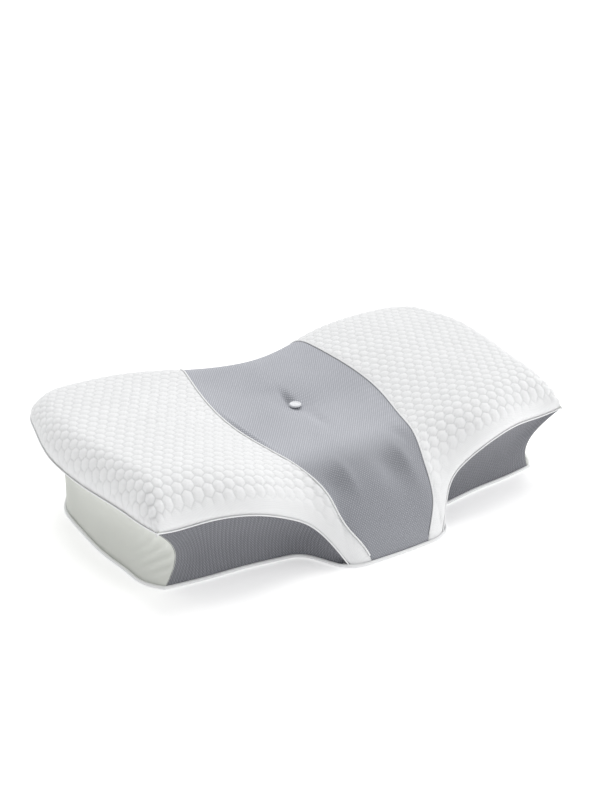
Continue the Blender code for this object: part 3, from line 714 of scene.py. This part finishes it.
def makeStrip(name, upper):
    tops = np.linspace(-pillow["backTip"], pillow["backTip"], 380)
    side = np.where(tops < 0, -1, 1)
    ups = packedEnds(64 if upper else 26)
    footX = np.abs(tops) * pillow["backCorner"][0] / pillow["backTip"]
    mark = 1 if upper else -1
    edge = zipEdge(footX, mark)[:, None]
    rise = through("backEdge", np.abs(tops), 2)[:, None]
    low, high = (edge, rise) if upper else (0 * edge, edge)
    grid = wallGrid("back", 1, np.abs(tops), ups, low, high)
    grid[..., 0] *= side[:, None]
    normal = normalsOf(grid)
    across, along = ranOut(grid)
    x, z = grid[..., 0], grid[..., 2]
    flat = 1 - pastZip(x)
    overTape = np.exp(-((z - edge) / .0075) ** 4) * flat
    lift = .0014 * overTape + wall["wave"] * softWaves(x, z, 41 + mark, .09) * eased(np.abs(z - .027) / .02)
    seam = np.abs(z - edge)
    lift = lift - .0004 * np.exp(-((seam - .0028) / .0007) ** 2) * flat  # drawn in along the stitching
    # painted shade towards the seams
    shade = seamShade(grid, .30, .0016)
    return panel(name, grid, normal, lift, (across, along), shade, plainTricot, tuck=.0006, dip=.0004)


leftFront, rightFront = makeFront("leftFront", -1), makeFront("rightFront", 1)
leftEnd, rightEnd = makeEnd("leftEnd", -1), makeEnd("rightEnd", 1)
backUpper, backLower = makeStrip("backUpper", True), makeStrip("backLower", False)
print("walls sewn in")

# Base: plain tricot underneath, its edge rolled up around the foot as a pale lip

base = {"rings": 46, "lip": .0021, "out": .0010}


def wallLine(side, up, start, stop, counts):  # round the three walls at one height, from the lobe to the back
    front = wallGrid("front", side, np.linspace(start, pillow["wingTip"], counts[0]), [up])[:, 0]
    end = wallGrid("end", side, np.linspace(*pillow["endRange"], counts[1]), [up])[1:, 0]
    back = wallGrid("back", side, np.linspace(pillow["backTip"], stop, counts[2]), [up])[1:, 0]
    return np.concatenate((front, end, back))


def footLine():  # the wall's foot, anticlockwise from the lobe's middle
    lobeEnd = pillow["lobeEnd"]
    lobe = topGrid(np.linspace(0, .98, 40), [1.0])[:, 0]
    wingLobe = topGrid(np.linspace(1, 1.2, 30), [1.0])[:, 0]
    lobe, wingLobe = lobe[lobe[:, 0] < lobeEnd - .001], wingLobe[wingLobe[:, 0] < lobeEnd - .0005]
    half = np.concatenate((lobe, wingLobe, wallLine(1, 0.0, lobeEnd + .0004, 0, (120, 110, 100))))
    half[:, 2] = 0
    mirrored = half[::-1][1:-1] * (-1, 1, 1)
    return np.concatenate((half, mirrored))


def makeBase():
    line = footLine()
    share = 1 - packedEnds(base["rings"], .3)[:-1]
    centreAt = np.array((0, -.02, 0))
    grid = centreAt + (line - centreAt)[:, None, :] * share[None, :, None]
    x, y = grid[..., 0], grid[..., 1]
    inward = np.linalg.norm(grid - line[:, None], axis=-1)
    pucker = .0005 * np.exp(-(inward / .016) ** 2) * softWaves(x, y, 51, .014)
    grid[..., 2] = .0007 + .0004 * (1 + softWaves(x, y, 52, .10)) * eased(inward / .02) + np.abs(pucker)
    across, rings = grid.shape[:2]
    faces = [tuple(face) for face in gridFaces(across, rings, False, closed=True)]
    faces.append(tuple(i * rings + rings - 1 for i in range(across))[::-1])
    cloth = np.stack((x, y, 0 * x), axis=-1)
    # painted shade: darker towards the base's edge, under the foot
    item = meshFrom("basePanel", grid, faces, cloth, 1 - .25 * np.exp(-inward / .002), baseTricot)
    work = bmesh.new()
    work.from_mesh(item.data)
    bmesh.ops.recalc_face_normals(work, faces=work.faces)
    if sum(face.normal.z for face in work.faces) > 0:
        bmesh.ops.reverse_faces(work, faces=work.faces)
    work.to_mesh(item.data)
    work.free()
    return item


basePanel = makeBase()

# Piping along the seams

piping = {"radius": .0009, "proud": .0002, "sides": 10}


def plannedOut(path, closed=False):  # outward in plan, square to the line
    ahead = aheadOf(path, closed)
    out = np.stack((ahead[:, 1], -ahead[:, 0], 0 * ahead[:, 0]), axis=1)
    out /= np.maximum(np.linalg.norm(out, axis=1, keepdims=True), 1e-9)
    if (out * (path - middle)).sum() < 0:
        out = -out
    return out


def makeRimPiping(name, side):
    path = wallLine(side, 1.0, pillow["lobeEnd"] + .0006, .001, (130, 130, 120))
    lifted = path + plannedOut(path) * piping["proud"] + (0, 0, .0003)
    lifted[:, 2] = np.maximum(lifted[:, 2], piping["radius"] + .0003)
    return tube(name, lifted, piping["radius"], pipingKnit, piping["sides"])


def makeSeamPiping(name, side):
    rows = packedEnds(240, .3)[2:-2]
    grid = topGrid(side * np.array((.985, 1, 1.015)), rows)
    normal = normalsOf(grid)[1]
    path = grid[1] + normal * .0004
    path[:, 2] = np.maximum(path[:, 2], .0016)
    return tube(name, path, .0010, pipingKnit, piping["sides"])


leftRimPiping, rightRimPiping = makeRimPiping("leftRimPiping", -1), makeRimPiping("rightRimPiping", 1)
leftSeamPiping, rightSeamPiping = makeSeamPiping("leftSeamPiping", -1), makeSeamPiping("rightSeamPiping", 1)
foot = footLine()
lipLine = foot + plannedOut(foot, True) * base["out"] + (0, 0, base["lip"] + .0001)
baseLip = tube("baseLip", lipLine, base["lip"], pipingKnit, 12, closed=True)
print("piping run")

# Zip: woven tapes under the folded strips, coil teeth, slider and puller


def bar(name, low, high, cuts, sway, material):  # a thin strip along X that sways a little
    xs = np.linspace(low[0], high[0], cuts)
    bevel = min(high[1] - low[1], high[2] - low[2]) * .3
    ring = np.array([(low[1] + bevel, low[2]), (high[1] - bevel, low[2]), (high[1], low[2] + bevel),
                     (high[1], high[2] - bevel), (high[1] - bevel, high[2]), (low[1] + bevel, high[2]),
                     (low[1], high[2] - bevel), (low[1], low[2] + bevel)])
    move = sway * np.sin(xs * 31.0) * np.sin(xs * 12.3 + 1)
    points = np.stack((np.repeat(xs[:, None], 8, 1), ring[None, :, 0] + 0 * xs[:, None],
                       ring[None, :, 1] + move[:, None]), axis=-1)
    return closedMesh(name, points, ringFaces(cuts, 8), points[..., (0, 2, 1)], material)


def makeCoil(name, sign):
    half, pitch = zipper["half"], zipper["pitch"]
    turns = 2 * half / pitch
    t = np.linspace(0, turns * math.tau, int(turns * 9))
    x = -half + .0005 + t / math.tau * pitch * .998 + (0 if sign > 0 else pitch / 2)
    y = pillow["backFoot"] + zipper["tape"] + .0011 + .00052 * np.sin(t)
    z = zipper["height"] + sign * (zipper["gap"] + .00055 + .00115 * np.cos(t) * .9)
    keep = x < half - .0006
    return tube(name, np.stack((x, y, z), axis=1)[keep], zipper["wire"], zipCoil, 5)


def makeStitches(name, heightAt):
    count = int(2 * (zipper["half"] - .004) / zipper["stitchGap"])
    points, faces = [], []
    for n in range(count):
        x = -zipper["half"] + .004 + n * zipper["stitchGap"]
        start = len(points)
        for i in range(7):
            t = i / 6
            out = .00022 * math.sin(math.pi * t) ** .5 if 0 < t < 1 else 0
            size = .00024 * math.sin(math.pi * (.06 + .88 * t)) ** .5
            for j in range(6):
                angle = j * math.tau / 6
                depth = pillow["backFoot"] + .00105 + out + size * math.cos(angle)
                points.append((x + t * zipper["stitch"], depth, heightAt + size * math.sin(angle)))
        faces += ringFaces(7, 6, start)
    return closedMesh(name, points, faces, points, sewingThread)


def fromNode(name, node, material, body, bevel=0.0, voxel=0.0, smooth=0, drawIn=0.0):
    # A finished piece grown from a CAD node's own shape: its edges rounded, or its skin remade and softened.
    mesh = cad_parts[node].data.copy()
    mesh.materials.clear()
    mesh.materials.append(material)
    work = bmesh.new()
    work.from_mesh(mesh)
    bmesh.ops.remove_doubles(work, verts=work.verts, dist=1e-6)
    if not voxel:
        bmesh.ops.dissolve_limit(work, angle_limit=.02, verts=work.verts, edges=work.edges)
    work.to_mesh(mesh)
    work.free()
    item = added(name, mesh)

    def modify(kind, **settings):
        modifier = item.modifiers.new(kind.lower(), kind)
        for key, value in settings.items():
            setattr(modifier, key, value)

    if bevel:
        modify("BEVEL", width=bevel, segments=3, limit_method="ANGLE", angle_limit=math.radians(35))
    if voxel:
        modify("REMESH", mode="VOXEL", voxel_size=voxel)
    if smooth:
        modify("SMOOTH", iterations=smooth, factor=.5)
    if drawIn:
        modify("DISPLACE", strength=-drawIn, mid_level=0)
    evaluated = item.evaluated_get(bpy.context.evaluated_depsgraph_get())
    done = bpy.data.meshes.new_from_object(evaluated)
    item.modifiers.clear()
    item.data = done
    done.polygons.foreach_set("use_smooth", np.ones(len(done.polygons), bool))
    if bevel:
        done.set_sharp_from_angle(angle=math.radians(40))
    places = np.zeros(len(done.vertices) * 3, np.float32)
    done.vertices.foreach_get("co", places)
    setSpread(done, places, np.ones(len(done.vertices)))
    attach(item, body)
    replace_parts(item, node)
    return item


def makeTape(name, low, high):  # low and high: its edges, measured from the teeth
    tapeIn, tapeOut = pillow["backFoot"] + .00005, pillow["backFoot"] + zipper["tape"]
    half, height = zipper["half"], zipper["height"]
    return bar(name, (-half, tapeIn, height + low), (half, tapeOut, height + high), 160, .00008, zipTapeWeave)


upperTape = makeTape("upperTape", zipper["gap"], zipper["gap"] + zipper["tapeWidth"])
lowerTape = makeTape("lowerTape", -zipper["gap"] - zipper["tapeWidth"], -zipper["gap"])
upperCoil, lowerCoil = makeCoil("upperCoil", 1), makeCoil("lowerCoil", -1)
stitchShift = zipper["opening"] + .0028
upperStitches = makeStitches("upperStitches", zipper["height"] + stitchShift)
lowerStitches = makeStitches("lowerStitches", zipper["height"] - stitchShift)
slider = fromNode("zipSliderBody", "zip_slider", zipMetal, "slider", bevel=.00018)
puller = fromNode("zipPullerTab", "zip_puller", zipMetal, "puller", bevel=.00022)
closedStop = fromNode("closedStop", "zip_closed_stop", zipMetal, "pillow", bevel=.00018)
openStop = fromNode("openStop", "zip_open_stop", zipMetal, "pillow", bevel=.00018)
print("zip closed")

# Tuft: a covered button with a pale rim, its cord, and the disc that holds the cord under the foam

button = {"sides": 64, "sunk": .0022}


def makeButton():
    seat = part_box("tuft_button")[0].z - button["sunk"]
    profile = [(.0000, .0018), (.0018, .0019), (.0036, .0019), (.0046, .0020), (.0053, .0024), (.0060, .0029),
               (.0066, .0030), (.0072, .0027), (.0077, .0020), (.0078, .0012), (.0076, .0006), (.0071, .0002),
               (.0066, .0000)]
    angles = np.arange(button["sides"]) * math.tau / button["sides"]
    points, faces = [(0, pillow["tuftY"], seat + profile[0][1])], []
    for radius, height in profile[1:]:
        pleat = .00006 * np.cos(angles * 16) * (radius > .006)
        for angle, fold in zip(angles, pleat):
            reach = radius + fold
            points.append((reach * math.cos(angle), pillow["tuftY"] + reach * math.sin(angle), seat + height))
    sides = button["sides"]
    faces += [(0, 1 + j, 1 + (j + 1) % sides) for j in range(sides)]
    for i in range(len(profile) - 2):
        for j in range(sides):
            k = (j + 1) % sides
            a, b = 1 + i * sides, 1 + (i + 1) * sides
            faces.append((a + j, b + j, b + k, a + k))
    faces.append(tuple(1 + (len(profile) - 2) * sides + j for j in range(sides)))
    return closedMesh("tuftButton", points, faces, points, buttonCover)


tuftButton = makeButton()
tuftAnchor = fromNode("tuftAnchorDisc", "tuft_anchor", anchorPlastic, "pillow", bevel=.0005)


def makeCord():  # three strands laid up from disc to button
    low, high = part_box("tuft_cord")
    strands, faces = [], []
    heights = np.linspace(low.z, high.z, 160)
    for strand in range(3):
        for z in heights:
            turn = (z - low.z) * math.tau / .006 + strand * math.tau / 3
            x, y = .00048 * math.cos(turn), pillow["tuftY"] + .00048 * math.sin(turn)
            for j in range(8):
                angle = j * math.tau / 8
                strands.append((x + .00046 * math.cos(angle), y + .00046 * math.sin(angle), z))
        faces += ringFaces(len(heights), 8, strand * len(heights) * 8)
    return closedMesh("tuftCord", strands, faces, strands, cordBraid)


tuftCord = makeCord()
foamCore = fromNode("foamCore", "foam_core", memoryFoam, "pillow", voxel=.0035, smooth=3, drawIn=.0042)


def settleFoam():  # the foam gives way where the cover is pulled in
    places = np.zeros(len(foamCore.data.vertices) * 3, np.float32)
    foamCore.data.vertices.foreach_get("co", places)
    places = places.reshape(-1, 3).astype(float)
    x, y, z = places.T
    onTop = eased((z - topHeight(x, y) + .030) / .010)
    onTop = onTop * (np.abs(x) < pillow["clothReach"])
    places[:, 2] = z + onTop * (np.minimum(centreLift(x, y), 0) * 1.3 - .0010)
    foamCore.data.vertices.foreach_set("co", places.astype(np.float32).ravel())
    foamCore.data.update()


settleFoam()


def makeLiner():  # a knitted bag under the cover, open behind the zip
    line = np.linspace(0, 1, 60)
    strip = np.linspace(-pillow["backTip"], pillow["backTip"], 120)
    high = through("backEdge", np.abs(strip), 2)[:, None]
    grids = [topGrid(side * (1 + line), packedEnds(90)) for side in (-1, 1)]
    grids += [topGrid(np.linspace(-1, 1, 60), packedEnds(90))]
    for side in (-1, 1):
        grids += [wallGrid("front", side, np.linspace(.0700, pillow["wingTip"], 100), packedEnds(24)),
                  wallGrid("end", side, np.linspace(*pillow["endRange"], 100), packedEnds(24))]
    for low, top in ((0 * high, 0 * high + .014), (0 * high + .040, high)):
        grid = wallGrid("back", 1, np.abs(strip), packedEnds(20), low, top)
        grid[..., 0] *= np.where(strip < 0, -1, 1)[:, None]
        grids.append(grid)
    points, faces, start = [], [], 0
    for grid in grids:
        x, y = grid[..., 0], grid[..., 1]
        normal = normalsOf(grid)
        onTop = (np.abs(x) < pillow["clothReach"]) * (np.abs(normal[..., 2]) > .05)
        sunk = .0034 - 1.15 * np.minimum(centreLift(x, y), 0) * onTop
        placed = grid - normal * sunk[..., None]
        placed[..., 2] = np.maximum(placed[..., 2], .0028)
        faces.append(gridFaces(*grid.shape[:2], facesOut(grid, normal)) + start)
        points.append(placed.reshape(-1, 3))
        start += len(points[-1])
    points = np.concatenate(points)
    item = meshFrom("innerLiner", points, np.concatenate(faces), points, np.ones(len(points)), linerKnit)
    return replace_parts(item, "inner_liner")


innerLiner = makeLiner()
print("tuft, liner and foam in place")

# What each piece stands for and its finish label; each hides the CAD part it replaces

stands = (
    (leftWing, "left_wing_panel", "quilted"), (rightWing, "right_wing_panel", "quilted"),
    (centrePanel, "centre_panel", "mesh"), (leftFront, "left_front_panel", "side_mesh"),
    (rightFront, "right_front_panel", "side_mesh"), (leftEnd, "left_end_panel", "plain"),
    (rightEnd, "right_end_panel", "plain"), (backUpper, "back_upper_strip", "plain"),
    (backLower, "back_lower_strip", "plain"), (basePanel, "base_panel", "base"),
    (leftRimPiping, "left_rim_welt", "welt"), (rightRimPiping, "right_rim_welt", "welt"),
    (leftSeamPiping, "left_centre_welt", "welt"), (rightSeamPiping, "right_centre_welt", "welt"),
    (baseLip, "base_welt", "welt"), (upperTape, "upper_zip_tape", "tape"),
    (lowerTape, "lower_zip_tape", "tape"), (upperCoil, "upper_zip_teeth", "teeth"),
    (lowerCoil, "lower_zip_teeth", "teeth"), (tuftButton, "tuft_button", "button"),
    (tuftCord, "tuft_cord", "cord"),
)
for item, node, finishSlot in stands:
    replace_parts(item, node)


# Floor, light and camera

studio = {"skyStrength": .70, "keyStrength": 1.7, "keySoftness": 45.0, "keyFrom": (.50, .80, 1.30),
          "sideStrength": 10.0, "sidePlace": (1.5, -1.2, .55), "sideSize": 1.4,
          "floor": (.93, .93, .93), "floorGlow": .30, "floorHalf": 14, "floorDrop": .0002}


def makeFloor():
    half, low = studio["floorHalf"], -studio["floorDrop"]
    corners = [(-half, -half, low), (half, -half, low), (half, half, low), (-half, half, low)]
    mesh = bpy.data.meshes.new("studioFloor")
    mesh.from_pydata(corners, [], [(0, 1, 2, 3)])
    item = added("studioFloor", mesh)
    finish = Finish("studioPaper", .9)
    fibre = finish.group(fibres, finish.objectPlace(), Grain=300.0, Patch=1.5)
    tone = studio["floor"]
    finish.colour(finish.mixed(fibre["Cloud"], tuple(channel * .99 for channel in tone), tone))
    finish.shader.inputs["Emission Color"].default_value = (1, 1, 1, 1)
    finish.shader.inputs["Emission Strength"].default_value = studio["floorGlow"]
    mesh.materials.append(finish.material)


def makeLights():
    world = bpy.data.worlds.new("studioSky")
    world.use_nodes = True
    world.node_tree.nodes["Background"].inputs["Color"].default_value = (1, 1, 1, 1)
    world.node_tree.nodes["Background"].inputs["Strength"].default_value = studio["skyStrength"]
    bpy.context.scene.world = world
    key = bpy.data.lights.new("keyLight", "SUN")
    key.energy, key.angle = studio["keyStrength"], math.radians(studio["keySoftness"])
    keyItem = added("keyLight", key)
    keyItem.rotation_euler = Vector(studio["keyFrom"]).to_track_quat("Z", "Y").to_euler()
    side = bpy.data.lights.new("sideLight", "AREA")
    side.energy, side.shape, side.size = studio["sideStrength"], "DISK", studio["sideSize"]
    sideItem = added("sideLight", side)
    sideItem.location = studio["sidePlace"]
    sideItem.rotation_euler = Vector(studio["sidePlace"]).to_track_quat("Z", "Y").to_euler()


view = {"place": (-.8777, -1.3316, .8765), "aim": (0, 0, .1125), "roll": .56, "lens": 62.46}


def makeCamera():
    lens = bpy.data.cameras.new("studioCamera")
    lens.lens, lens.sensor_width, lens.sensor_fit = view["lens"], 36.0, "AUTO"
    lens.clip_start, lens.clip_end = .05, 60
    item = added("studioCamera", lens)
    place = Vector(view["place"])
    turn = (Vector(view["aim"]) - place).to_track_quat("-Z", "Y").to_matrix().to_4x4()
    roll = Matrix.Rotation(math.radians(view["roll"]), 4, "Z")
    item.matrix_world = Matrix.Translation(place) @ turn @ roll
    bpy.context.scene.camera = item


makeFloor()
makeLights()
makeCamera()
bpy.context.scene.view_settings.view_transform = "Standard"
print("studio set")
